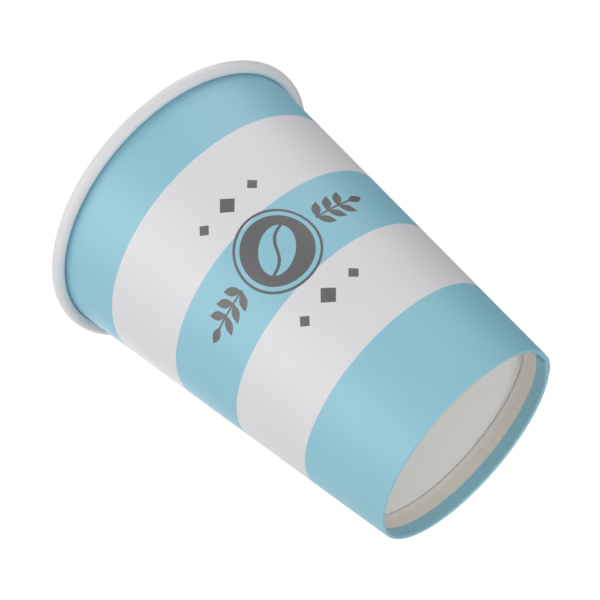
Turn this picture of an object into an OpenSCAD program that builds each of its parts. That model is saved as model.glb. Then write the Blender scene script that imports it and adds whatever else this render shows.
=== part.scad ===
// Single wall paper cup with a rolled rim and a folded base.
// The wall is one fan-shaped blank of board. Its top edge is rolled outwards,
// and its bottom edge is turned up inside, round the skirt of the bottom disc.
// The cup stands upright: Z up, origin under the middle of the standing edge.
// The front of the cup faces -Y.

/* [Cup] */
// Height from the standing edge to the top of the rim
cup_h = 110; // [85:1:150]
// Outside diameter over the rolled rim
rim_od = 90; // [82:0.5:98]
// Outside diameter of the standing edge
base_od = 59; // [52:0.5:66]

/* [Board] */
// Thickness of the board of the wall
wall_t = 0.35; // [0.28:0.01:0.45]
// Thickness of the board of the bottom disc
disc_t = 0.3; // [0.24:0.01:0.4]
// Gap left between the layers of board in the base and the rim
layer_gap = 0.02; // [0.01:0.01:0.05]

/* [Rim] */
// Diameter of the roll of board in section
roll_d = 3.6; // [3:0.1:4.6]
// Angle that the board turns on inside the roll after its lowest point
roll_tail = 150; // [60:5:180]

/* [Base] */
// Depth of the hollow under the bottom disc
recess_h = 8.7; // [6:0.1:14]
// Inside radius of the bend between the disc and its skirt
disc_bend_r = 0.4; // [0.3:0.05:1]
// Gap between the top edge of the hem and the start of the disc's bend
hem_gap = 0.1; // [0.05:0.05:0.6]
// Width of the flat that the fold is pressed to where the cup stands
land_w = 0.4; // [0.2:0.05:0.6]

/* [Print] */
// Height of the blue band at the base
base_blue_h = 24; // [15:0.5:30]
// Height of the lower white band
lower_white_h = 22.4; // [10:0.2:25]
// Height of the middle blue band
middle_blue_h = 20.7; // [10:0.1:25]
// Height of the upper white band, with the rest up to the rim blue
upper_white_h = 22.8; // [5:0.2:25]
// Height that the print reaches up the hem in the hollow of the base
hem_print_h = 3.75; // [1:0.05:5]

/* [Hidden] */

$fn = 128;
blue = [0.60, 0.80, 0.86];
white = [0.93, 0.93, 0.94];
bare_board = [0.86, 0.84, 0.80];

// The fold at the standing edge just holds the skirt of the disc
fold_in_r = disc_t / 2 + layer_gap;
fold_mid_r = fold_in_r + wall_t / 2;
fold_out_r = fold_in_r + wall_t;
fold_press = fold_out_r - sqrt(pow(fold_out_r, 2) - pow(land_w / 2, 2));
fold_c = [base_od / 2 - fold_out_r, fold_out_r - fold_press];

// The first turn of the roll, and the smaller one that carries on inside it
roll_out_r = roll_d / 2;
roll_mid_r = roll_out_r - wall_t / 2;
roll_c = [rim_od / 2 - roll_out_r, cup_h - roll_out_r];
layer_pitch = wall_t + layer_gap;
tail_mid_r = roll_mid_r - layer_pitch;
tail_c = roll_c - [0, layer_pitch];

// The wall runs straight from the outside of the fold to the inside of the roll
span = roll_c - fold_c;
lean = atan2(span.x, span.y) - asin((fold_mid_r + roll_mid_r) / norm(span));
up_wall = [sin(lean), cos(lean)];
out_wall = [cos(lean), -sin(lean)];
wall_foot = fold_c + out_wall * fold_mid_r;
wall_head = roll_c - out_wall * roll_mid_r;

// The hem stands inside the wall, with the skirt between them
disc_bend_mid_r = disc_bend_r + disc_t / 2;
disc_bend_z = recess_h - disc_bend_r;
hem_foot = fold_c - out_wall * fold_mid_r;
hem_top_z = disc_bend_z - hem_gap;
skirt_head = along(fold_c, disc_bend_z - disc_bend_mid_r * sin(lean));
disc_bend_c = skirt_head - out_wall * disc_bend_mid_r;

reach = 2 * max(cup_h, rim_od);

// Point at height z on the line through p that runs up beside the wall
function along(p, z) = p + up_wall * (z - p.y) / cos(lean);
function wall_at(z) = along(wall_foot, z);
function hem_at(z) = along(hem_foot, z);
function polar(r, a) = r * [cos(a), sin(a)];

// Straight run of board between two points of its mid line, in section
module run(a, b, in_t, out_t) {
    polygon([a - out_wall * in_t, a + out_wall * out_t, b + out_wall * out_t, b - out_wall * in_t]);
}

// Bend of board about c from angle a0 round to a1, in section
module bend(c, in_r, out_r, a0, a1) {
    steps = ceil((a1 - a0) / 30);
    translate(c)
        intersection() {
            difference() {
                circle(out_r);
                circle(in_r);
            }
            polygon(concat([[0, 0]], [for (i = [0:steps]) polar(2 * out_r, a0 + (a1 - a0) * i / steps)]));
        }
}

// Section of the part of the plane that lies above the table
module above_table() {
    intersection() {
        children();
        square(reach);
    }
}

// Ring of wall between two heights
module wall_band(z0, z1) {
    rotate_extrude()
        run(wall_at(z0), wall_at(z1), wall_t / 2, wall_t / 2);
}

// Rolled rim, turned outwards so that the inside of the board shows on it
module rim_roll() {
    rotate_extrude() {
        bend(roll_c, roll_out_r - wall_t, roll_out_r, -90, 180 - lean);
        bend(tail_c, tail_mid_r - wall_t / 2, tail_mid_r + wall_t / 2, 270 - roll_tail, 270);
    }
}

// Fold at the standing edge, pressed flat underneath
module base_fold() {
    rotate_extrude()
        above_table()
            bend(fold_c, fold_in_r, fold_out_r, 180 - lean, 360 - lean);
}

// Ring of the hem between two heights
module hem_band(z0, z1) {
    rotate_extrude()
        run(hem_at(z0), hem_at(z1), wall_t / 2, wall_t / 2);
}

// The one blank, from its lower edge in the hollow of the base up to the rim
module side_wall() {
    lower_white_z = base_blue_h;
    middle_blue_z = lower_white_z + lower_white_h;
    upper_white_z = middle_blue_z + middle_blue_h;
    upper_blue_z = upper_white_z + upper_white_h;
    color(bare_board) hem_band(hem_print_h, hem_top_z);
    color(blue) hem_band(hem_foot.y, hem_print_h);
    color(blue) base_fold();
    color(blue) wall_band(wall_foot.y, lower_white_z);
    color(white) wall_band(lower_white_z, middle_blue_z);
    color(blue) wall_band(middle_blue_z, upper_white_z);
    color(white) wall_band(upper_white_z, upper_blue_z);
    color(blue) wall_band(upper_blue_z, wall_head.y);
    color(white) rim_roll();
}

// The disc that closes the cup, with the skirt that the fold holds
module bottom_disc() {
    color(white)
        rotate_extrude() {
            translate([0, recess_h])
                square([disc_bend_c.x, disc_t]);
            bend(disc_bend_c, disc_bend_r, disc_bend_r + disc_t, -lean, 90);
            run(fold_c, skirt_head, disc_t / 2, disc_t / 2);
        }
}

side_wall();
bottom_disc();
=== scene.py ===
"""Dresses the paper cup: board with seam, rolled rim and folded base, print, light and camera."""

import logging
import math
from dataclasses import dataclass, field
from enum import Enum
from typing import Callable, Iterable

import bmesh
import bpy
from mathutils import Matrix, Vector


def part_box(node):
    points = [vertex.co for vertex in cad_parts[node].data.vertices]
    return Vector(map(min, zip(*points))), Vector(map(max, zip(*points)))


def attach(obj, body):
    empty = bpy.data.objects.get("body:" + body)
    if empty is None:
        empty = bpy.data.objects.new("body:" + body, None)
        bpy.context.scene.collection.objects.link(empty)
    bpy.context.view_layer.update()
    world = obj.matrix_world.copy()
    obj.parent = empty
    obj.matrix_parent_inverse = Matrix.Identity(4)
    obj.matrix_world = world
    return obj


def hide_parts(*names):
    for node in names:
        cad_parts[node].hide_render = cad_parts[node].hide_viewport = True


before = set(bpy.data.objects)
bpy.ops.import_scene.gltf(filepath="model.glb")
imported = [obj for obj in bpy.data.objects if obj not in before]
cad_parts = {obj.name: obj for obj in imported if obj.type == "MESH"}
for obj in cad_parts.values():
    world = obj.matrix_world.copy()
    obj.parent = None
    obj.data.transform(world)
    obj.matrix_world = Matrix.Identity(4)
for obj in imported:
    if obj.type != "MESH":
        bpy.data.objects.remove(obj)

log = logging.getLogger("paper_cup")

MM = 0.001
MERGE_DISTANCE = 0.002 * MM
BODY = "root"
WALL_NODE = "side_wall"
DISC_NODE = "bottom_disc"

Colour = tuple[float, float, float, float]
Point = tuple[float, float]
Triple = tuple[float, float, float]
Span = tuple[float, float]

UNSTRETCHED = (1.0, 1.0, 1.0)
NOISE_MIDDLE = 0.5

# Places of the colour sockets on a Mix node
MIX_FIRST = 6
MIX_SECOND = 7
MIX_RESULT = 2


def grey(value: float) -> Colour:
    """Neutral colour of one linear brightness from 0 to 1."""
    return (value, value, value, 1.0)


def ease(value: float, low: float, high: float) -> float:
    """Smooth step from 0 to 1 between two values.

    Args:
        value: The value to place.
        low: Where the step starts.
        high: Where it ends.

    Returns:
        0 before low, 1 after high, and a soft curve between them.
    """
    share = min(max((value - low) / (high - low), 0.0), 1.0)
    return share * share * (3.0 - 2.0 * share)


class Slot(Enum):
    """Material slots of the wall's mesh, in order."""

    PRINTED = 0
    BARE_HEM = 1
    COATED = 2
    CUT_EDGE = 3


@dataclass(frozen=True)
class CupSizes:
    """Driving sizes of the cup in metres, with what follows from them.

    The wall's own frame has its origin at the middle of the fold, x out from the
    cup's axis and y up along the wall.
    """

    height: float
    rim_radius: float
    base_radius: float = 29.5 * MM
    board: float = 0.35 * MM
    disc_board: float = 0.30 * MM
    layer_gap: float = 0.02 * MM
    roll_radius: float = 1.8 * MM
    roll_tail: float = math.radians(150)
    recess: float = 8.7 * MM
    disc_bend: float = 0.22 * MM
    hem_gap: float = -0.05 * MM
    land: float = 0.4 * MM
    print_on_hem: float = 3.75 * MM

    @property
    def fold_in(self) -> float:
        """Inside radius of the fold."""
        return self.disc_board / 2 + self.layer_gap

    @property
    def fold_out(self) -> float:
        """Outside radius of the fold."""
        return self.fold_in + self.board

    @property
    def fold_centre(self) -> Point:
        """Middle of the fold, as radius and height."""
        press = self.fold_out - math.sqrt(self.fold_out**2 - (self.land / 2) ** 2)
        return (self.base_radius - self.fold_out, self.fold_out - press)

    @property
    def pitch(self) -> float:
        """Step from one layer of the roll to the next."""
        return self.board + self.layer_gap

    @property
    def span(self) -> Vector:
        """From the middle of the fold to the middle of the roll."""
        radius, z = self.fold_centre
        return Vector((self.rim_radius - self.roll_radius - radius, self.height - self.roll_radius - z))

    @property
    def roll_x(self) -> float:
        """How far out the roll's middle lies in the wall's frame."""
        return self.hem_mid + self.roll_radius - self.board / 2

    @property
    def roll_y(self) -> float:
        """How far up the wall the roll's middle lies."""
        return math.sqrt(self.span.length_squared - self.roll_x**2)

    @property
    def lean(self) -> float:
        """Angle that the wall leans outwards."""
        return math.atan2(self.span.x, self.span.y) - math.asin(self.roll_x / self.span.length)

    def place(self, x: float, y: float) -> Point:
        """Radius and height of a point that is given in the wall's frame.

        Args:
            x: Distance out from the middle of the fold.
            y: Distance up along the wall.

        Returns:
            Radius from the cup's axis, and height.
        """
        radius, z = self.fold_centre
        across, along = math.cos(self.lean), math.sin(self.lean)
        return (radius + x * across + y * along, z - x * along + y * across)

    def beside(self, radius: float, z: float) -> Point:
        """The same point in the wall's frame.

        Args:
            radius: Distance from the cup's axis.
            z: Height over the table.

        Returns:
            x out from the middle of the fold, and y up along the wall.
        """
        out = radius - self.fold_centre[0]
        up = z - self.fold_centre[1]
        across, along = math.cos(self.lean), math.sin(self.lean)
        return (out * across - up * along, out * along + up * across)

    def up_to(self, x: float, z: float) -> float:
        """How far up the wall's frame the height z over the table is reached at x."""
        return (z - self.fold_centre[1] + x * math.sin(self.lean)) / math.cos(self.lean)

    @property
    def bend_mid(self) -> float:
        """Mid line radius of the bend between the disc and its skirt."""
        return self.disc_bend + self.disc_board / 2

    @property
    def bend_y(self) -> float:
        """Where that bend starts, up the wall's frame."""
        return self.up_to(-self.bend_mid, self.recess - self.disc_bend)

    @property
    def hem_mid(self) -> float:
        """Mid line radius of the fold, which the hem and the wall stand at."""
        return self.fold_in + self.board / 2

    @property
    def hem_top_y(self) -> float:
        """Top edge of the hem, up the wall's frame."""
        return self.up_to(-self.hem_mid, self.recess - self.disc_bend - self.hem_gap)

    @property
    def hem_print_y(self) -> float:
        """Edge of the print on the hem, up the wall's frame."""
        return self.up_to(-self.hem_mid, self.print_on_hem)


def line(start: Point, end: Point, rows: int) -> list[Point]:
    """Evenly spaced points of a straight line.

    Args:
        start: First point.
        end: Last point.
        rows: Number of steps between them.

    Returns:
        rows + 1 points.
    """
    a, b = Vector(start), Vector(end)
    return [tuple(a.lerp(b, i / rows)) for i in range(rows + 1)]


def arc(centre: Point, radius: float, start: float, end: float, rows: int) -> list[Point]:
    """Evenly spaced points of an arc.

    Args:
        centre: Middle of the arc.
        radius: Its radius.
        start: Angle of the first point, in degrees.
        end: Angle of the last point, in degrees.
        rows: Number of steps between them.

    Returns:
        rows + 1 points.
    """
    angles = [math.radians(start + (end - start) * i / rows) for i in range(rows + 1)]
    return [(centre[0] + radius * math.cos(a), centre[1] + radius * math.sin(a)) for a in angles]


def spin_strip(bm: bmesh.types.BMesh, section: Iterable[Point], steps: int, slot: Slot | None = None) -> None:
    """Turns a strip of section round the cup's axis.

    Args:
        bm: Mesh that the strip is added to.
        section: Points as radius and height.
        steps: Columns of faces round the cup.
        slot: Material slot of the strip's faces.
    """
    strip = bmesh.new()
    verts = [strip.verts.new((radius, 0.0, max(z, 0.0))) for radius, z in section]
    edges = [strip.edges.new(pair) for pair in zip(verts, verts[1:])]
    bmesh.ops.spin(
        strip,
        geom=verts + edges,
        cent=(0, 0, 0),
        axis=(0, 0, 1),
        angle=2 * math.pi,
        steps=steps,
        use_merge=True,
        use_duplicate=False,
    )
    for face in strip.faces:
        face.material_index = slot.value if slot else 0
    turned = bpy.data.meshes.new("strip")
    strip.to_mesh(turned)
    strip.free()
    bm.from_mesh(turned)
    bpy.data.meshes.remove(turned)


def cut_faces(bm: bmesh.types.BMesh, faces: list[bmesh.types.BMFace], point: Vector, normal: Vector) -> None:
    """Adds an edge loop where a plane crosses some faces.

    Args:
        bm: Mesh that holds the faces.
        faces: Faces to cut.
        point: A point of the plane.
        normal: The plane's normal.
    """
    edges = {edge for face in faces for edge in face.edges}
    verts = {vert for face in faces for vert in face.verts}
    bmesh.ops.bisect_plane(
        bm,
        geom=list(verts) + list(edges) + list(faces),
        dist=MERGE_DISTANCE / 10,
        plane_co=point,
        plane_no=normal,
    )


def finish_mesh(
    bm: bmesh.types.BMesh, name: str, crease: float, finishes: list[bpy.types.Material]
) -> bpy.types.Object:
    """Closes a mesh, turns its faces outwards and makes an object of it.

    Args:
        bm: The mesh, which is freed.
        name: Name of the new piece.
        crease: Edges sharper than this angle stay crisp, in radians.
        finishes: Materials in the order of the slots.

    Returns:
        The piece, at the origin, with its place in its mesh.
    """
    bmesh.ops.recalc_face_normals(bm, faces=bm.faces)
    if bm.calc_volume(signed=True) < 0:
        bmesh.ops.reverse_faces(bm, faces=bm.faces)
    for face in bm.faces:
        face.smooth = True
    mesh = bpy.data.meshes.new(name)
    bm.to_mesh(mesh)
    bm.free()
    mesh.set_sharp_from_angle(angle=crease)
    for finish in finishes:
        mesh.materials.append(finish)
    piece = bpy.data.objects.new(name, mesh)
    bpy.context.collection.objects.link(piece)
    return piece


@dataclass(frozen=True)
class Seam:
    """The lapped side seam on +X, and the marks that its two ends leave."""

    sizes: CupSizes
    lap: float = 6.2 * MM
    rise: float = 0.24 * MM
    fall: float = 2.6 * MM
    edge: float = 0.03 * MM
    slant: float = math.atan(5.2 / 8.2)
    line_width: float = 0.36 * MM
    line_depth: float = 0.10 * MM
    rim_rise: float = 0.05 * MM
    reach: float = 14.0 * MM
    hem_margin: float = 0.08 * MM
    fade_share: float = 0.8
    fade_height: float = 5.4 * MM

    def along_hem(self, co: Vector) -> float:
        """Distance round the cup from the slanting edge in the hollow of the base."""
        return co.y - co.z * math.tan(self.slant)

    def lift(self, past: float) -> float:
        """How far the lap stands out at a distance past its cut edge.

        Args:
            past: Distance past the cut edge of the outer end.

        Returns:
            The rise at that place.
        """
        if past < self.edge / 2:
            return 0.0
        return self.rise * (1.0 - ease(past, self.lap, self.lap + self.fall))

    def cut_columns(self, bm: bmesh.types.BMesh) -> None:
        """Adds the columns at which the seam's cut edges stand.

        Args:
            bm: The wall's mesh.
        """
        sizes = self.sizes

        def near(face: bmesh.types.BMFace) -> bool:
            """Is the face on the seam's side of the cup?"""
            co = face.calc_center_median()
            return co.x > 0 and -self.reach < co.y < self.reach

        def on_hem(face: bmesh.types.BMFace) -> bool:
            """Does the face show in the hollow of the base?

            Args:
                face: A face of the wall.

            Returns:
                Whether it is part of the hem.
            """
            co = face.calc_center_median()
            x, y = sizes.beside(math.hypot(co.x, co.y), co.z)
            return x < 0 and y < sizes.hem_top_y + self.hem_margin

        sideways = Vector((0, 1, 0))
        for distance in (self.edge, self.lap, self.lap + self.line_width / 2, self.lap + self.line_width):
            faces = [face for face in bm.faces if near(face) and not on_hem(face)]
            cut_faces(bm, faces, sideways * distance, sideways)
        slanted = Vector((0, math.cos(self.slant), -math.sin(self.slant)))
        for distance in (0.0, self.edge, self.lap):
            faces = [face for face in bm.faces if near(face) and on_hem(face)]
            cut_faces(bm, faces, sideways * distance, slanted)

    def press(self, co: Vector, x: float, y: float) -> float:
        """How far a point of the board moves out of its face because of the seam.

        Args:
            co: The point.
            x: The same point in the wall's frame.
            y: The same point in the wall's frame.

        Returns:
            The move along the outside of the board, in metres.
        """
        sizes = self.sizes
        if co.x <= 0 or abs(co.y) > self.reach:
            return 0.0
        printed = math.hypot(x, y) > sizes.hem_mid if y < 0 else abs(x) > sizes.hem_mid
        if printed and x < 0:
            return self.lift(self.along_hem(co))
        if printed:
            faded = self.fade_share * ease(y, sizes.roll_y - self.fade_height, sizes.roll_y)
            return self.lift(co.y) * (1.0 - faded)
        return 0.0

    def line_mark(self, co: Vector) -> float:
        """Depth share of the line where the inner end of the blank stops.

        Args:
            co: A point of the inside of the cup or of the rim.

        Returns:
            1 at the bottom of the line, 0 beside it.
        """
        if co.x <= 0:
            return 0.0
        half = self.line_width / 2
        return max(0.0, 1.0 - abs(co.y - self.lap - half) / half)


@dataclass(frozen=True)
class WallBlank:
    """The one blank of the wall: hem, fold, wall and rolled rim.

    Each span gives the two ends of a soft step. Those of the ridges' head and of the
    lip are measured down from the hem's top edge.
    """

    sizes: CupSizes
    seam: Seam
    columns: int = 480
    ridges: int = 120
    ridge_height: float = 0.02 * MM
    lip: float = 0.08 * MM
    sway: float = 0.035 * MM
    crease: float = math.radians(32)
    hem_rows: int = 12
    print_rows: int = 6
    fold_rows: int = 14
    wall_rows: int = 22
    roll_rows: int = 30
    tail_rows: int = 10
    plain_rows: int = 2
    sway_waves: tuple[tuple[int, float, float], ...] = ((3, 0.5, 0.4), (7, 0.3, 2.1), (16, 0.2, 4.0))
    sway_end: Span = (2.0 * MM, 12.0 * MM)
    sway_foot: float = 0.3 * MM
    ridge_foot: Span = (0.6 * MM, 1.6 * MM)
    ridge_head: Span = (1.6 * MM, 0.9 * MM)
    ridge_share: float = 0.7
    ridge_swing: float = 0.5
    lip_below: Span = (1.9 * MM, 0.2 * MM)
    lip_swing: float = 0.3
    rim_skin: float = 0.03
    rim_lap: Span = (-1.2 * MM, 0.4 * MM)
    rim_join: float = 1.2 * MM

    def strips(self) -> list[tuple[list[Point], Slot]]:
        """The closed outline of the board's section, cut where its finish changes.

        Returns:
            Each strip's points as radius and height, with its slot.
        """
        sizes = self.sizes
        tail = math.degrees(sizes.roll_tail)
        roll = (sizes.roll_x, sizes.roll_y)
        lower = (sizes.roll_x, sizes.roll_y - sizes.pitch)
        inner_roll = sizes.roll_radius - sizes.board
        top, printed, head = sizes.hem_top_y, sizes.hem_print_y, sizes.roll_y
        out, inside = sizes.fold_out, sizes.fold_in
        middle = (0.0, 0.0)
        drawn = [
            (line((-out, top), (-out, printed), self.hem_rows), Slot.BARE_HEM),
            (line((-out, printed), (-out, 0), self.print_rows), Slot.PRINTED),
            (arc(middle, out, 180, 360, self.fold_rows), Slot.PRINTED),
            (line((out, 0), (out, head), self.wall_rows), Slot.PRINTED),
            (arc(roll, inner_roll, 180, -90, self.tail_rows * 2), Slot.PRINTED),
            (arc(lower, inner_roll - sizes.pitch, 270, 270 - tail, self.tail_rows), Slot.PRINTED),
            (line((-inside, top), (-inside, 0), self.plain_rows), Slot.COATED),
            (arc(middle, inside, 180, 360, self.fold_rows // 2), Slot.COATED),
            (line((inside, 0), (inside, head), self.wall_rows // 2), Slot.COATED),
            (arc(roll, sizes.roll_radius, 180, -90, self.roll_rows), Slot.COATED),
            (arc(lower, sizes.roll_radius - sizes.pitch, 270, 270 - tail, self.tail_rows), Slot.COATED),
            (line((-out, top), (-inside, top), self.plain_rows), Slot.CUT_EDGE),
            (self.tail_edge(lower, inner_roll - sizes.pitch, 270 - tail), Slot.CUT_EDGE),
        ]
        return [([sizes.place(x, y) for x, y in points], slot) for points, slot in drawn]

    def tail_edge(self, centre: Point, radius: float, angle: float) -> list[Point]:
        """Cut edge of the board where the roll ends inside itself.

        Args:
            centre: Middle of the inner turn.
            radius: Inside radius of the board there.
            angle: Angle of the edge, in degrees.

        Returns:
            Two points across the board.
        """
        inner = arc(centre, radius, angle, angle, 1)[0]
        outer = arc(centre, radius + self.sizes.board, angle, angle, 1)[0]
        return [inner, outer]

    def wave(self, turn: float) -> float:
        """Slight waviness of the board at an azimuth in radians, from about -1 to 1."""
        return sum(share * math.cos(count * turn + start) for count, share, start in self.sway_waves)

    def shape_hem(self, x: float, y: float, turn: float) -> float:
        """How far the hem's face stands in from a plain cone.

        Args:
            x: A point in the wall's frame.
            y: The same point in the wall's frame.
            turn: Its azimuth in radians.

        Returns:
            The move towards the cup's axis, in metres.
        """
        sizes, top = self.sizes, self.sizes.hem_top_y
        if x > -sizes.hem_mid or y < 0:
            return 0.0
        head = 1.0 - ease(y, top - self.ridge_head[0], top - self.ridge_head[1])
        rubbed = ease(y, *self.ridge_foot) * head
        share = self.ridge_share + self.ridge_swing * self.wave(turn * 2)
        ridge = self.ridge_height * math.cos(self.ridges * turn) * share
        lip = self.lip * ease(y, top - self.lip_below[0], top - self.lip_below[1])
        return ridge * rubbed + lip * (1.0 + self.lip_swing * self.wave(turn))

    def shape_rim(self, co: Vector, x: float, y: float) -> Vector:
        """Move of a point on the roll's outside, which is a hair smaller away from the seam.

        Args:
            co: The point.
            x: The same point in the wall's frame.
            y: The same point in the wall's frame.

        Returns:
            The move in the wall's frame, as a vector of x and y.
        """
        sizes, seam = self.sizes, self.seam
        spoke = Vector((x - sizes.roll_x, y - sizes.roll_y))
        if abs(spoke.length - sizes.roll_radius) >= self.rim_skin * sizes.roll_radius:
            return Vector((0.0, 0.0))
        lap = (1.0 if co.x > 0 else 0.0) * ease(co.y, *self.rim_lap)
        lap *= 1.0 - ease(co.y, seam.lap - seam.edge, seam.lap + seam.line_width / 2)
        joined = ease(math.hypot(x - sizes.fold_in, y - sizes.roll_y), 0.0, self.rim_join)
        depth = seam.rim_rise * (1.0 - lap) + seam.rim_rise * seam.line_mark(co)
        return spoke.normalized() * (-depth * joined)

    def shape(self, bm: bmesh.types.BMesh) -> None:
        """Moves the plain section's points to the real board's shape.

        Args:
            bm: The wall's mesh, with all its columns.
        """
        sizes, seam = self.sizes, self.seam
        tolerance = sizes.board / 4
        for vert in bm.verts:
            co = vert.co.copy()
            radius = math.hypot(co.x, co.y)
            turn = math.atan2(co.y, co.x)
            x, y = sizes.beside(radius, co.z)
            outwards = Vector((x, y)).normalized() if y < 0 else Vector((math.copysign(1.0, x), 0.0))
            in_fold = y < sizes.roll_y - sizes.roll_radius
            move = Vector((0.0, 0.0))
            if in_fold:
                move += outwards * (seam.press(co, x, y) + self.shape_hem(x, y, turn))
                standing = 1.0 - ease(y, *self.sway_end)
                move.x += self.sway * self.wave(turn) * standing * ease(co.z, 0.0, self.sway_foot)
            elif abs(x - sizes.fold_out) < tolerance:
                move += outwards * seam.press(co, x, y)
            else:
                move += self.shape_rim(co, x, y)
            inner_face = abs(x - sizes.fold_in) < tolerance
            if inner_face and sizes.bend_y + 2 * sizes.bend_mid < y < sizes.roll_y:
                move.x += seam.line_depth * seam.line_mark(co)
            if move.length_squared == 0.0:
                continue
            new_radius, z = sizes.place(x + move.x, y + move.y)
            vert.co = Vector((co.x / radius * new_radius, co.y / radius * new_radius, max(z, 0.0)))

    def build(self, finishes: list[bpy.types.Material]) -> bpy.types.Object:
        """Builds the wall.

        Args:
            finishes: Materials in the order of Slot.

        Returns:
            The finished piece.
        """
        bm = bmesh.new()
        for section, slot in self.strips():
            spin_strip(bm, section, self.columns, slot)
        bmesh.ops.remove_doubles(bm, verts=bm.verts, dist=MERGE_DISTANCE)
        self.seam.cut_columns(bm)
        self.shape(bm)
        return finish_mesh(bm, "cup_wall", self.crease, finishes)


@dataclass(frozen=True)
class BottomDisc:
    """The round blank that closes the cup, with its skirt down in the fold."""

    sizes: CupSizes
    columns: int = 320
    dome: float = 0.25 * MM
    disc_rows: int = 14
    bend_rows: int = 6
    skirt_rows: int = 3
    crease: float = math.radians(32)

    def face(self, bend_radius: float, z: float, side: float) -> list[Point]:
        """One face of the board, from the axis out and down to the skirt's lower edge.

        Args:
            bend_radius: Radius of this face in the bend.
            z: Height of this face in the middle.
            side: 1 for the face on the skirt's outside, -1 for the other.

        Returns:
            Points as radius and height.
        """
        sizes = self.sizes
        centre = (-sizes.bend_mid, sizes.bend_y)
        bend_start = 90 + math.degrees(sizes.lean)
        bend = [sizes.place(x, y) for x, y in arc(centre, bend_radius, bend_start, 0, self.bend_rows)]
        edge = bend[0][0]
        flat = line((0.0, z), (edge, z), self.disc_rows)
        domed = [(r, height + self.dome * math.cos(math.pi / 2 * r / edge)) for r, height in flat]
        foot = side * sizes.disc_board / 2
        skirt = [sizes.place(x, y) for x, y in line((foot, sizes.bend_y), (foot, 0.0), self.skirt_rows)]
        return domed[:-1] + bend + skirt[1:]

    def build(self, finishes: list[bpy.types.Material]) -> bpy.types.Object:
        """Builds the disc.

        Args:
            finishes: One material.

        Returns:
            The finished piece.
        """
        sizes = self.sizes
        under = self.face(sizes.disc_bend, sizes.recess, -1.0)
        over = self.face(sizes.disc_bend + sizes.disc_board, sizes.recess + sizes.disc_board, 1.0)
        bm = bmesh.new()
        spin_strip(bm, under, self.columns)
        spin_strip(bm, over, self.columns)
        spin_strip(bm, [under[-1], over[-1]], self.columns)
        bmesh.ops.remove_doubles(bm, verts=bm.verts, dist=MERGE_DISTANCE)
        return finish_mesh(bm, "cup_disc", self.crease, finishes)


Socket = bpy.types.NodeSocket
Value = float | Socket
Inputs = dict[str | int, object]


@dataclass(frozen=True)
class Noise:
    """Settings of one noise texture.

    Attributes:
        scale: Waves per metre.
        detail: Octaves.
        roughness: Weight of the finer octaves.
        stretch: Factor on the coordinates along each axis.
    """

    scale: float
    detail: float = 3.0
    roughness: float = 0.5
    stretch: Triple = UNSTRETCHED


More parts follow.
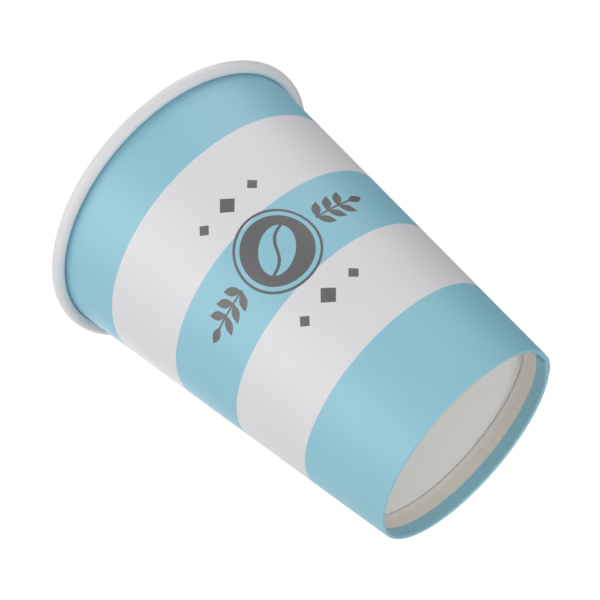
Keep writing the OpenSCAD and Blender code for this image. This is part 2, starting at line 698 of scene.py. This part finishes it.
class Graph:
    """Adds nodes to one node tree and links them."""

    def __init__(self, tree: bpy.types.NodeTree) -> None:
        """Starts an empty tree, of a material, a world or a group."""
        tree.nodes.clear()
        self.tree = tree

    def node(self, kind: str, inputs: Inputs | None = None, **settings: object) -> bpy.types.Node:
        """Adds one node.

        Args:
            kind: Its type, such as ShaderNodeMath.
            inputs: What feeds each input that isn't left as it is, by name or place.
            **settings: Properties to set on it.

        Returns:
            The node.
        """
        node = self.tree.nodes.new(kind)
        for name, value in settings.items():
            setattr(node, name, value)
        for label, value in (inputs or {}).items():
            self.feed(node.inputs[label], value)
        return node

    def feed(self, socket: Socket, value: object) -> None:
        """Links a socket, or sets a constant on it.

        Args:
            socket: Input to feed.
            value: An output socket, or the constant.
        """
        if isinstance(value, bpy.types.NodeSocket):
            self.tree.links.new(value, socket)
        elif socket.type == "VECTOR":
            socket.default_value = value[:3]
        else:
            socket.default_value = value

    def math(self, operation: str, *values: Value) -> Socket:
        """Result of a Math node.

        Args:
            operation: Its operation, such as ADD.
            *values: Up to three sockets or numbers.

        Returns:
            The result.
        """
        node = self.node("ShaderNodeMath", operation=operation)
        for socket, value in zip(node.inputs, values):
            self.feed(socket, value)
        return node.outputs[0]

    def add(self, first: Value, second: Value) -> Socket:
        """Sum of two values."""
        return self.math("ADD", first, second)

    def subtract(self, first: Value, second: Value) -> Socket:
        """Difference of two values."""
        return self.math("SUBTRACT", first, second)

    def multiply(self, first: Value, second: Value) -> Socket:
        """Product of two values."""
        return self.math("MULTIPLY", first, second)

    def absolute(self, value: Value) -> Socket:
        """Size of a value without its sign."""
        return self.math("ABSOLUTE", value)

    def hypot(self, first: Socket, second: Socket) -> Socket:
        """Length of the vector of two values."""
        return self.math("SQRT", self.add(self.multiply(first, first), self.multiply(second, second)))

    def turned(self, first: Socket, second: Socket, angle: float) -> tuple[Socket, Socket]:
        """Two coordinates in a frame that is turned about their origin.

        Args:
            first: Distance to the side.
            second: Distance upwards.
            angle: The frame's angle in radians.

        Returns:
            The two distances in the turned frame.
        """
        sine, cosine = math.sin(angle), math.cos(angle)
        along = self.add(self.multiply(first, cosine), self.multiply(second, sine))
        beside = self.subtract(self.multiply(second, cosine), self.multiply(first, sine))
        return along, beside

    def largest(self, *masks: Value) -> Socket:
        """Union of masks.

        Args:
            *masks: Masks or numbers.

        Returns:
            The largest of them.
        """
        result = masks[0]
        for mask in masks[1:]:
            result = self.math("MAXIMUM", result, mask)
        return result

    def step(self, value: Value, low: Value, high: Value, start: float = 0.0, end: float = 1.0) -> Socket:
        """Soft step between two values.

        Args:
            value: What is compared.
            low: Where the step starts.
            high: Where it ends.
            start: Result before it.
            end: Result after it.

        Returns:
            The mask.
        """
        node = self.node("ShaderNodeMapRange", interpolation_type="SMOOTHSTEP")
        for socket, number in zip(node.inputs, (value, low, high, start, end)):
            self.feed(socket, number)
        return node.outputs[0]

    def below(self, value: Value, limit: Value, softness: float) -> Socket:
        """Mask of where a value is below a limit, with an edge of a given softness."""
        return self.step(self.subtract(value, limit), -softness, softness, 1.0, 0.0)

    def mix(self, factor: Value, first: Colour | Socket, second: Colour | Socket) -> Socket:
        """Mix of two colours.

        Args:
            factor: Share of the second.
            first: Colour at 0.
            second: Colour at 1.

        Returns:
            The mixed colour.
        """
        inputs = {"Factor": factor, MIX_FIRST: first, MIX_SECOND: second}
        return self.node("ShaderNodeMix", inputs, data_type="RGBA").outputs[MIX_RESULT]

    def scaled(self, colour: Colour | Socket, factor: Value) -> Socket:
        """A colour times a factor."""
        return self.node("ShaderNodeVectorMath", {0: colour, "Scale": factor}, operation="SCALE").outputs[0]

    def mapped(self, vector: Socket, stretch: Triple = UNSTRETCHED, turn: float = 0.0) -> Socket:
        """Coordinates that are stretched and then turned about Z.

        Args:
            vector: Coordinates.
            stretch: Factor along each axis.
            turn: Angle in radians.

        Returns:
            The new coordinates.
        """
        inputs = {"Vector": vector, "Rotation": (0.0, 0.0, turn), "Scale": stretch}
        return self.node("ShaderNodeMapping", inputs).outputs[0]

    def noise(self, vector: Socket, noise: Noise) -> Socket:
        """Value of a noise texture.

        Args:
            vector: Coordinates in metres.
            noise: The texture's settings.

        Returns:
            A value around 0.5.
        """
        if noise.stretch != UNSTRETCHED:
            vector = self.mapped(vector, noise.stretch)
        inputs = {
            "Vector": vector,
            "Scale": noise.scale,
            "Detail": noise.detail,
            "Roughness": noise.roughness,
        }
        return self.node("ShaderNodeTexNoise", inputs).outputs["Fac"]

    def swing(self, vector: Socket, noise: Noise) -> Socket:
        """Value of a noise texture, moved so that it lies around 0."""
        return self.subtract(self.noise(vector, noise), NOISE_MIDDLE)

    def object_coordinates(self) -> Socket:
        """The piece's own coordinates, in metres."""
        return self.node("ShaderNodeTexCoord").outputs["Object"]

    def parts(self, vector: Socket) -> tuple[Socket, ...]:
        """X, Y and Z of a vector."""
        return tuple(self.node("ShaderNodeSeparateXYZ", {0: vector}).outputs)

    def mix_shader(self, factor: Value, first: bpy.types.Node, second: bpy.types.Node) -> Socket:
        """Mix of two shader nodes, with the factor as the share of the second."""
        inputs = {0: factor, 1: first.outputs[0], 2: second.outputs[0]}
        return self.node("ShaderNodeMixShader", inputs).outputs[0]


def new_material(name: str) -> tuple[bpy.types.Material, Graph]:
    """Starts a material with an empty node tree.

    Args:
        name: The material's name.

    Returns:
        The material, and the graph of its nodes.
    """
    material = bpy.data.materials.new(name)
    material.use_nodes = True
    return material, Graph(material.node_tree)


Fill = Callable[[Graph, bpy.types.Node], list[Socket]]


def make_group(name: str, inputs: dict[str, float], outputs: list[str], fill: Fill) -> bpy.types.NodeTree:
    """Builds a shader node group.

    Args:
        name: The group's name.
        inputs: Name and default value of each input.
        outputs: Name of each output.
        fill: Adds the nodes and returns a socket for each output.

    Returns:
        The group.
    """
    tree = bpy.data.node_groups.new(name, "ShaderNodeTree")
    for label, value in inputs.items():
        socket = tree.interface.new_socket(label, in_out="INPUT", socket_type="NodeSocketFloat")
        socket.default_value = value
    for label in outputs:
        tree.interface.new_socket(label, in_out="OUTPUT", socket_type="NodeSocketFloat")
    graph = Graph(tree)
    entry = graph.node("NodeGroupInput")
    results = fill(graph, entry)
    leave = graph.node("NodeGroupOutput")
    for socket, result in zip(leave.inputs, results):
        graph.feed(socket, result)
    return tree


@dataclass(frozen=True)
class BoardGrain:
    """Surface of calendered board: matted fibres over slow unevenness."""

    upright: Noise = Noise(2600.0, 4.0, 0.62, (1.0, 1.0, 0.22))
    level: Noise = Noise(1900.0, 3.0, 0.6, (0.5, 0.5, 1.6))
    slow: Noise = Noise(170.0, 2.0)
    fibre_edge: Span = (0.42, 0.74)

    def fill(self, graph: Graph, entry: bpy.types.Node) -> list[Socket]:
        """Adds the group's nodes.

        Args:
            graph: The group's nodes.
            entry: Its input node.

        Returns:
            Height of the surface and a fibre mask.
        """
        coords = graph.object_coordinates()
        fibres = graph.largest(graph.noise(coords, self.upright), graph.noise(coords, self.level))
        raised = graph.multiply(fibres, entry.outputs["Fibre"])
        slow = graph.multiply(graph.noise(coords, self.slow), entry.outputs["Uneven"])
        return [graph.add(raised, slow), graph.step(fibres, *self.fibre_edge)]

    def group(self) -> bpy.types.NodeTree:
        """Builds the node group."""
        return make_group("board_grain", {"Fibre": 1.0, "Uneven": 1.0}, ["Height", "Fibres"], self.fill)


@dataclass(frozen=True)
class BoardMottle:
    """Tone of the board: cloudy formation and fine specks."""

    cloud: Noise = Noise(55.0, 3.0, 0.55)
    formation: Noise = Noise(620.0, 3.0, 0.6)
    specks: Noise = Noise(1500.0, 1.0, 0.4)
    speck_edge: Span = (0.74, 0.80)

    def fill(self, graph: Graph, entry: bpy.types.Node) -> list[Socket]:
        """Adds the group's nodes.

        Args:
            graph: The group's nodes.
            entry: Its input node.

        Returns:
            A value around 1 to multiply a colour by, and a mask of specks.
        """
        coords = graph.object_coordinates()
        cloud = graph.multiply(graph.swing(coords, self.cloud), entry.outputs["Cloud"])
        formation = graph.multiply(graph.swing(coords, self.formation), entry.outputs["Formation"])
        specks = graph.step(graph.noise(coords, self.specks), *self.speck_edge)
        return [graph.add(graph.add(cloud, formation), 1.0), specks]

    def group(self) -> bpy.types.NodeTree:
        """Builds the node group."""
        return make_group("board_mottle", {"Cloud": 0.1, "Formation": 0.1}, ["Tone", "Specks"], self.fill)


@dataclass(frozen=True)
class Effects:
    """Node groups that the finishes share."""

    grain: bpy.types.NodeTree
    mottle: bpy.types.NodeTree

    @classmethod
    def make(cls) -> "Effects":
        """Builds the groups."""
        return cls(BoardGrain().group(), BoardMottle().group())


@dataclass(frozen=True)
class BoardFinish:
    """Bare or coated board of one colour, and the base of the printed one."""

    name: str
    colour: Colour
    speck_colour: Colour = grey(0.45)
    speck_strength: float = 0.0
    cloud: float = 0.05
    formation: float = 0.05
    fibre: float = 1.0
    uneven: float = 1.0
    bump: float = 0.25
    bump_height: float = 0.02 * MM
    roughness: float = 0.6
    roughness_spread: float = 0.12
    specular: float = 0.5
    ior: float = 1.5

    def tint(self, graph: Graph) -> Colour | Socket:
        """Colour of the board before its mottle."""
        return self.colour

    def build(self, effects: Effects) -> bpy.types.Material:
        """Builds the material.

        Args:
            effects: The shared node groups.

        Returns:
            The material.
        """
        material, graph = new_material(self.name)
        depths = {"Fibre": self.fibre, "Uneven": self.uneven}
        grain = graph.node("ShaderNodeGroup", depths, node_tree=effects.grain)
        tones = {"Cloud": self.cloud, "Formation": self.formation}
        mottle = graph.node("ShaderNodeGroup", tones, node_tree=effects.mottle)
        toned = graph.scaled(self.tint(graph), mottle.outputs["Tone"])
        specks = graph.multiply(mottle.outputs["Specks"], self.speck_strength)
        half = self.roughness_spread / 2
        rough = graph.step(grain.outputs["Fibres"], 0.0, 1.0, self.roughness - half, self.roughness + half)
        relief = {"Strength": self.bump, "Distance": self.bump_height, "Height": grain.outputs["Height"]}
        surface = {
            "Base Color": graph.mix(specks, toned, self.speck_colour),
            "Roughness": rough,
            "Specular IOR Level": self.specular,
            "IOR": self.ior,
            "Normal": graph.node("ShaderNodeBump", relief).outputs["Normal"],
        }
        shader = graph.node("ShaderNodeBsdfPrincipled", surface)
        graph.node("ShaderNodeOutputMaterial", {"Surface": shader.outputs["BSDF"]})
        return material


@dataclass(frozen=True)
class HemFinish(BoardFinish):
    """Bare board of the hem, with darker upright streaks and a painted highlight on its top edge."""

    # Painted highlight: paler colour laid on the hem's top edge, where light catches it.
    lip_highlight: Colour = (0.86, 0.82, 0.755, 1.0)
    streak_shade: Colour = (0.74, 0.685, 0.615, 1.0)
    # Heights over which the painted highlight fades in at the hem's top.
    lip: Span = (6.6 * MM, 7.6 * MM)
    streaks: Noise = Noise(520.0, 2.0, 0.5, (1.0, 1.0, 0.12))
    streak_edge: Span = (0.5, 0.75)
    streak_strength: float = 0.5

    def tint(self, graph: Graph) -> Socket:
        """Beige board with darker upright streaks, and a painted highlight that makes its lip paler.

        Args:
            graph: The material's nodes.

        Returns:
            The colour.
        """
        coords = graph.object_coordinates()
        # Darker upright streaks from stretched noise, mixed into the beige.
        streaks = graph.step(graph.noise(coords, self.streaks), *self.streak_edge, 0.0, self.streak_strength)
        board = graph.mix(streaks, self.colour, self.streak_shade)
        height = graph.parts(coords)[2]
        # Painted highlight: the top band of the hem takes the paler colour.
        return graph.mix(graph.step(height, *self.lip), board, self.lip_highlight)


@dataclass(frozen=True)
class Motif:
    """The dark print on the front: a bean in a roundel between two sprigs."""

    azimuth: float = math.radians(-86.0)
    height: float = 57.0 * MM
    softness: float = 0.05 * MM
    roundel: float = 9.4 * MM
    ring_inner: float = 10.5 * MM
    ring_outer: float = 11.2 * MM
    bean_length: float = 6.7 * MM
    bean_width: float = 4.6 * MM
    bean_turn: float = math.radians(38)
    crease_wave: float = 1.0 * MM
    crease_half: float = 0.42 * MM
    sprig_start: float = 13.3 * MM
    leaf_pitch: float = 3.6 * MM
    leaf_pairs: int = 3
    leaf_length: float = 5.0 * MM
    leaf_half: float = 1.15 * MM
    leaf_turn: float = math.radians(50)
    stem_half: float = 0.28 * MM
    lozenge_height: float = 17.6 * MM
    lozenge_pitch: float = 8.4 * MM
    lozenge_big: float = 2.6 * MM
    lozenge_small: float = 1.7 * MM

    def leaf(self, graph: Graph, along: Socket, across: Socket) -> Socket:
        """Mask of one leaf.

        Args:
            graph: The material's nodes.
            along: Distance from the leaf's foot along its rib.
            across: Distance from the rib.

        Returns:
            The mask.
        """
        swing = graph.math("SINE", graph.multiply(along, math.pi / self.leaf_length))
        inside = graph.below(graph.absolute(across), graph.multiply(swing, self.leaf_half), self.softness)
        started = graph.below(graph.multiply(along, -1.0), 0.0, self.softness)
        ended = graph.below(along, self.leaf_length, self.softness)
        return graph.multiply(inside, graph.multiply(started, ended))

    def sprigs(self, graph: Graph, out: Socket, up: Socket) -> Socket:
        """Mask of both sprigs, whose halves mirror each other.

        Args:
            graph: The material's nodes.
            out: Distance from the middle, sideways.
            up: Distance from the stem.

        Returns:
            The mask.
        """
        run = graph.subtract(out, self.sprig_start)
        last = self.leaf_pairs * self.leaf_pitch
        index = graph.math("FLOOR", graph.math("DIVIDE", run, self.leaf_pitch))
        index = graph.math("MINIMUM", graph.math("MAXIMUM", index, 0.0), self.leaf_pairs - 1.0)
        local = graph.subtract(run, graph.multiply(index, self.leaf_pitch))
        rib, side = graph.turned(local, up, self.leaf_turn)
        pairs = self.leaf(graph, rib, side)
        tip = self.leaf(graph, graph.subtract(run, last), up)
        started = graph.below(graph.multiply(run, -1.0), self.stem_half, self.softness)
        ended = graph.below(run, last + self.leaf_pitch / 2, self.softness)
        stem = graph.multiply(graph.below(up, self.stem_half, self.softness), graph.multiply(started, ended))
        return graph.largest(pairs, tip, stem)

    def medallion(self, graph: Graph, sideways: Socket, upwards: Socket) -> Socket:
        """Mask of the roundel with its ring, and the bean left out of it.

        Args:
            graph: The material's nodes.
            sideways: Distance from the middle, sideways.
            upwards: Distance from the middle, upwards.

        Returns:
            The mask.
        """
        soft = self.softness
        away = graph.hypot(sideways, upwards)
        disc = graph.below(away, self.roundel, soft)
        rim = graph.below(away, self.ring_outer, soft)
        ring = graph.subtract(rim, graph.below(away, self.ring_inner, soft))
        along, across = graph.turned(sideways, upwards, self.bean_turn)
        along_share = graph.math("DIVIDE", along, self.bean_length)
        across_share = graph.math("DIVIDE", across, self.bean_width)
        bean = graph.below(graph.hypot(along_share, across_share), 1.0, soft / self.bean_width)
        curve = graph.multiply(graph.math("SINE", graph.multiply(along_share, math.pi)), self.crease_wave)
        crease = graph.below(graph.absolute(graph.subtract(across, curve)), self.crease_half, soft)
        knocked_out = graph.subtract(bean, graph.multiply(bean, crease))
        return graph.largest(graph.subtract(disc, knocked_out), ring)

    def lozenges(self, graph: Graph, out: Socket, up: Socket) -> Socket:
        """Mask of the two rows of three lozenges over and under the roundel.

        Args:
            graph: The material's nodes.
            out: Distance from the middle, sideways.
            up: Distance from the middle, upwards or downwards.

        Returns:
            The mask.
        """
        row = graph.absolute(graph.subtract(up, self.lozenge_height))
        big = graph.below(graph.add(out, row), self.lozenge_big, self.softness)
        beside = graph.absolute(graph.subtract(out, self.lozenge_pitch))
        small = graph.below(graph.add(beside, row), self.lozenge_small, self.softness)
        return graph.largest(big, small)

    def mask(self, graph: Graph, coords: Socket, lean: float) -> Socket:
        """Mask of the whole motif on the wall.

        Args:
            graph: The material's nodes.
            coords: The piece's coordinates.
            lean: Angle that the wall leans outwards.

        Returns:
            The mask.
        """
        x, y, z = graph.parts(graph.mapped(coords, turn=-self.azimuth))
        sideways = graph.multiply(graph.math("ARCTAN2", y, x), graph.hypot(x, y))
        upwards = graph.multiply(graph.subtract(z, self.height), 1.0 / math.cos(lean))
        out = graph.absolute(sideways)
        up = graph.absolute(upwards)
        return graph.largest(
            self.medallion(graph, sideways, upwards),
            self.sprigs(graph, out, up),
            self.lozenges(graph, out, up),
        )


@dataclass(frozen=True)
class PrintFinish(BoardFinish):
    """Printed outside of the board: bands, motif, and wear at the fold."""

    blue: Colour = (0.235, 0.54, 0.66, 1.0)
    charcoal: Colour = (0.036, 0.033, 0.038, 1.0)
    cracked: Colour = (0.45, 0.66, 0.72, 1.0)
    changes: tuple[float, ...] = (24.05 * MM, 46.41 * MM, 67.12 * MM, 89.89 * MM)
    softness: float = 0.06 * MM
    drift: float = 0.3 * MM
    drift_middle: float = 0.73
    ragged: float = 0.12 * MM
    ragged_edge: Noise = Noise(900.0, 2.0)
    wear: Span = (0.15 * MM, 0.75 * MM)
    cracks: Noise = Noise(1300.0, 3.0, 0.7, (1.0, 1.0, 2.5))
    crack_edge: Span = (0.5, 0.7)
    crack_strength: float = 0.55
    ink: Noise = Noise(2400.0, 2.0, 0.6)
    ink_edge: Span = (0.28, 0.4)
    ink_thinnest: float = 0.9
    lean: float = 0.0
    motif: Motif = field(default_factory=Motif)

    def bands(self, graph: Graph, coords: Socket) -> Socket:
        """Mask of the white bands, which drift a little from one seam edge to the other.

        Args:
            graph: The material's nodes.
            coords: The piece's coordinates.

        Returns:
            1 on the white bands.
        """
        x, y, z = graph.parts(coords)
        turn = graph.math("ARCTAN2", graph.multiply(y, -1.0), graph.multiply(x, -1.0))
        share = graph.subtract(graph.multiply(turn, 0.5 / math.pi), self.drift_middle - 0.5)
        ragged = graph.multiply(graph.swing(coords, self.ragged_edge), self.ragged)
        level = graph.add(graph.add(z, graph.multiply(share, self.drift)), ragged)
        white = graph.step(level, self.changes[0] - self.softness, self.changes[0] + self.softness)
        for index, change in enumerate(self.changes[1:]):
            passed = graph.step(level, change - self.softness, change + self.softness)
            white = graph.math("SUBTRACT" if index % 2 == 0 else "ADD", white, passed)
        return white

    def tint(self, graph: Graph) -> Socket:
        """Colour of the print.

        Args:
            graph: The material's nodes.

        Returns:
            The colour.
        """
        coords = graph.object_coordinates()
        bands = graph.mix(self.bands(graph, coords), self.blue, self.colour)
        near_fold = graph.step(graph.parts(coords)[2], *self.wear, 1.0, 0.0)
        cracks = graph.step(graph.noise(coords, self.cracks), *self.crack_edge, 0.0, self.crack_strength)
        worn = graph.mix(graph.multiply(near_fold, cracks), bands, self.cracked)
        ink = graph.step(graph.noise(coords, self.ink), *self.ink_edge, self.ink_thinnest, 1.0)
        motif = graph.multiply(self.motif.mask(graph, coords, self.lean), ink)
        return graph.mix(motif, worn, self.charcoal)


@dataclass(frozen=True)
class PhotoCamera:
    """Camera at the photograph's place, under the cup and turned on its side."""

    azimuth: float = math.radians(-95.6)
    elevation: float = math.radians(-25.453)
    roll: float = math.radians(-49.312)
    distance: float = 393.12 * MM
    target: Vector = field(default_factory=lambda: Vector((0.0, 0.0, 50.0 * MM)))
    aim_right: float = math.radians(1.077)
    aim_up: float = math.radians(1.006)
    sensor: float = 36.0
    lens: float = 90.675
    clip: float = 20.0

    def back(self) -> Vector:
        """Direction from the cup to the camera."""
        turn, level = self.azimuth, math.cos(self.elevation)
        return Vector((level * math.cos(turn), level * math.sin(turn), math.sin(self.elevation)))

    def axes(self) -> tuple[Vector, Vector, Vector]:
        """The picture's right and up, and the way that the camera looks.

        Returns:
            Three unit vectors.
        """
        ahead = -self.back()
        level_right = ahead.cross(Vector((0, 0, 1))).normalized()
        level_up = level_right.cross(ahead)
        cosine, sine = math.cos(self.roll), math.sin(self.roll)
        right = cosine * level_right + sine * level_up
        up = cosine * level_up - sine * level_right
        aim = (ahead - right * math.tan(self.aim_right) + up * math.tan(self.aim_up)).normalized()
        right = (right - aim * right.dot(aim)).normalized()
        return right, right.cross(aim), aim

    def build(self) -> bpy.types.Object:
        """Adds the camera and makes it the scene's.

        Returns:
            The camera.
        """
        right, up, aim = self.axes()
        data = bpy.data.cameras.new("photo_camera")
        data.sensor_width = self.sensor
        data.lens = self.lens
        data.clip_end = self.clip
        camera = bpy.data.objects.new("photo_camera", data)
        turn = Matrix((right, up, -aim)).transposed()
        camera.matrix_world = Matrix.Translation(self.target + self.back() * self.distance) @ turn.to_4x4()
        bpy.context.collection.objects.link(camera)
        bpy.context.scene.camera = camera
        return camera


def picture_way(axes: tuple[Vector, Vector, Vector], direction: Triple) -> Vector:
    """Unit vector of a direction that is given in the picture.

    Args:
        axes: The picture's right, up and look directions.
        direction: Shares to the right, upwards and towards the camera.

    Returns:
        The direction in the room.
    """
    right, up, ahead = axes
    return (right * direction[0] + up * direction[1] - ahead * direction[2]).normalized()


def facing(target: Vector, way: Vector, distance: float) -> Matrix:
    """Place at a distance from a target along a unit vector, with Z pointing away from the target."""
    return Matrix.Translation(target + way * distance) @ way.to_track_quat("Z", "Y").to_matrix().to_4x4()


@dataclass(frozen=True)
class SoftLamp:
    """One large square lamp that faces the cup."""

    name: str
    direction: Triple
    distance: float
    size: float
    power: float

    def build(self, axes: tuple[Vector, Vector, Vector], target: Vector) -> bpy.types.Object:
        """Adds the lamp.

        Args:
            axes: The picture's right, up and look directions.
            target: Where the lamp points.

        Returns:
            The lamp.
        """
        data = bpy.data.lights.new(self.name, "AREA")
        data.shape = "SQUARE"
        data.size = self.size
        data.energy = self.power
        lamp = bpy.data.objects.new(self.name, data)
        lamp.matrix_world = facing(target, picture_way(axes, self.direction), self.distance)
        lamp.visible_camera = False
        bpy.context.collection.objects.link(lamp)
        return lamp


@dataclass(frozen=True)
class Studio:
    """White ground, soft room light, lamps, and a dark cloth that the camera doesn't see."""

    room_light: float = 0.5
    cloth_direction: Triple = (0.6, 0.2, -0.74)
    cloth_distance: float = 0.5
    cloth_size: float = 1.3
    cloth_colour: Colour = grey(0.12)
    floor_size: float = 6.0
    floor_colour: Colour = grey(0.86)
    floor_noise: Noise = Noise(3.0, 2.0)
    floor_cloud: Span = (0.3, 0.7)
    floor_darkest: float = 0.985
    floor_roughness: float = 0.9
    floor_specular: float = 0.1
    floor_glow: float = 0.4
    lamps: tuple[SoftLamp, ...] = (
        SoftLamp("window_lamp", direction=(-0.86, -0.06, 0.52), distance=0.9, size=0.75, power=3.25),
        SoftLamp("base_fill", direction=(0.72, -0.42, 0.6), distance=0.9, size=0.6, power=2.8),
        SoftLamp("rim_fill", direction=(0.0, 0.96, 0.0), distance=0.5, size=0.4, power=0.62),
        SoftLamp("back_fill", direction=(-0.35, 0.1, -0.95), distance=0.9, size=0.7, power=3.0),
    )

    def light_world(self) -> None:
        """Gives the room its even light, and a white ground to what looks at it."""
        world = bpy.data.worlds.new("white_room")
        bpy.context.scene.world = world
        world.use_nodes = True
        graph = Graph(world.node_tree)
        light = graph.node("ShaderNodeBackground", {"Color": grey(1.0), "Strength": self.room_light})
        ground = graph.node("ShaderNodeBackground", {"Color": grey(1.0), "Strength": 1.0})
        rays = graph.node("ShaderNodeLightPath").outputs
        seen = graph.largest(rays["Is Camera Ray"], rays["Is Glossy Ray"], rays["Is Transmission Ray"])
        graph.node("ShaderNodeOutputWorld", {"Surface": graph.mix_shader(seen, light, ground)})

    def floor_finish(self) -> bpy.types.Material:
        """White table that shows to the camera from above alone, with the cup's shadow.

        Returns:
            The material.
        """
        material, graph = new_material("table_white")
        cloud = graph.noise(graph.object_coordinates(), self.floor_noise)
        tone = graph.step(cloud, *self.floor_cloud, self.floor_darkest, 1.0)
        surface = {
            "Base Color": graph.scaled(self.floor_colour, tone),
            "Roughness": self.floor_roughness,
            "Specular IOR Level": self.floor_specular,
            "Emission Color": grey(1.0),
            "Emission Strength": self.floor_glow,
        }
        board = graph.node("ShaderNodeBsdfPrincipled", surface)
        clear = graph.node("ShaderNodeBsdfTransparent")
        rays = graph.node("ShaderNodeLightPath").outputs
        front = graph.subtract(1.0, graph.node("ShaderNodeNewGeometry").outputs["Backfacing"])
        shown = graph.multiply(rays["Is Camera Ray"], front)
        graph.node("ShaderNodeOutputMaterial", {"Surface": graph.mix_shader(shown, clear, board)})
        return material

    def dark_finish(self) -> bpy.types.Material:
        """Dark cloth that keeps light off the cup and isn't in the picture.

        Returns:
            The material.
        """
        material, graph = new_material("dark_cloth")
        cloth = graph.node("ShaderNodeBsdfDiffuse", {"Color": self.cloth_colour})
        clear = graph.node("ShaderNodeBsdfTransparent")
        rays = graph.node("ShaderNodeLightPath").outputs
        mixed = graph.mix_shader(rays["Is Camera Ray"], cloth, clear)
        graph.node("ShaderNodeOutputMaterial", {"Surface": mixed})
        return material

    def panel(self, name: str, size: float, finish: bpy.types.Material) -> bpy.types.Object:
        """One flat square of the studio, centred on the origin and facing up.

        Args:
            name: Its name.
            size: Length of its sides.
            finish: Its material.

        Returns:
            The panel.
        """
        bm = bmesh.new()
        bmesh.ops.create_grid(bm, x_segments=2, y_segments=2, size=size / 2)
        mesh = bpy.data.meshes.new(name)
        bm.to_mesh(mesh)
        bm.free()
        mesh.materials.append(finish)
        panel = bpy.data.objects.new(name, mesh)
        bpy.context.collection.objects.link(panel)
        return panel

    def build(self, camera: PhotoCamera) -> None:
        """Sets up the floor, the cloth, the room and the lamps.

        Args:
            camera: The camera, which the lamps are placed from.
        """
        self.light_world()
        self.panel("table", self.floor_size, self.floor_finish())
        axes = camera.axes()
        way = picture_way(axes, self.cloth_direction)
        cloth = self.panel("dark_cloth", self.cloth_size, self.dark_finish())
        cloth.data.transform(facing(camera.target, way, self.cloth_distance))
        for lamp in self.lamps:
            lamp.build(axes, camera.target)
        bpy.context.scene.view_settings.view_transform = "Standard"


@dataclass(frozen=True)
class PaperCup:
    """The whole cup."""

    sizes: CupSizes
    effects: Effects

    def finishes(self) -> dict[str, bpy.types.Material]:
        """Builds each finish of the cup.

        Returns:
            Materials by name.
        """
        printed = PrintFinish(
            name="printed_board",
            colour=(0.75, 0.744, 0.77, 1.0),
            roughness=0.56,
            specular=1.0,
            ior=1.6,
            lean=self.sizes.lean,
        )
        hem = HemFinish(
            name="bare_hem",
            colour=(0.83, 0.775, 0.70, 1.0),
            cloud=0.10,
            formation=0.10,
            bump=0.45,
            roughness=0.75,
            specular=0.25,
            speck_strength=0.12,
        )
        coated = BoardFinish(
            name="coated_white",
            colour=(0.80, 0.80, 0.815, 1.0),
            cloud=0.03,
            formation=0.03,
            bump=0.12,
            roughness=0.38,
        )
        core = BoardFinish(
            name="cut_core",
            colour=(0.70, 0.69, 0.66, 1.0),
            cloud=0.12,
            formation=0.2,
            bump=0.6,
            roughness=0.85,
            specular=0.2,
        )
        disc = BoardFinish(
            name="disc_board",
            colour=(0.70, 0.687, 0.655, 1.0),
            cloud=0.07,
            formation=0.08,
            bump=0.3,
            roughness=0.68,
            specular=0.3,
            speck_strength=0.10,
        )
        made = (printed, hem, coated, core, disc)
        return {finish.name: finish.build(self.effects) for finish in made}

    def build(self) -> list[bpy.types.Object]:
        """Builds both blanks and puts them in the place of the solids.

        Returns:
            The pieces.
        """
        finish = self.finishes()
        wall_finishes = [finish[name] for name in ("printed_board", "bare_hem", "coated_white", "cut_core")]
        wall = WallBlank(self.sizes, Seam(self.sizes)).build(wall_finishes)
        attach(wall, BODY)
        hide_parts(WALL_NODE)
        disc = BottomDisc(self.sizes).build([finish["disc_board"]])
        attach(disc, BODY)
        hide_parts(DISC_NODE)
        return [wall, disc]


def main() -> None:
    """Builds the cup, its light and its camera."""
    logging.basicConfig(level=logging.INFO, format="%(name)s: %(message)s")
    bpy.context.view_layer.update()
    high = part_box(WALL_NODE)[1]
    sizes = CupSizes(height=high[2], rim_radius=high[0])
    for piece in PaperCup(sizes, Effects.make()).build():
        log.info("%s has %d faces", piece.name, len(piece.data.polygons))
    camera = PhotoCamera()
    camera.build()
    Studio().build(camera)
    log.info("camera and room are set")


if __name__ == "__main__":
    main()
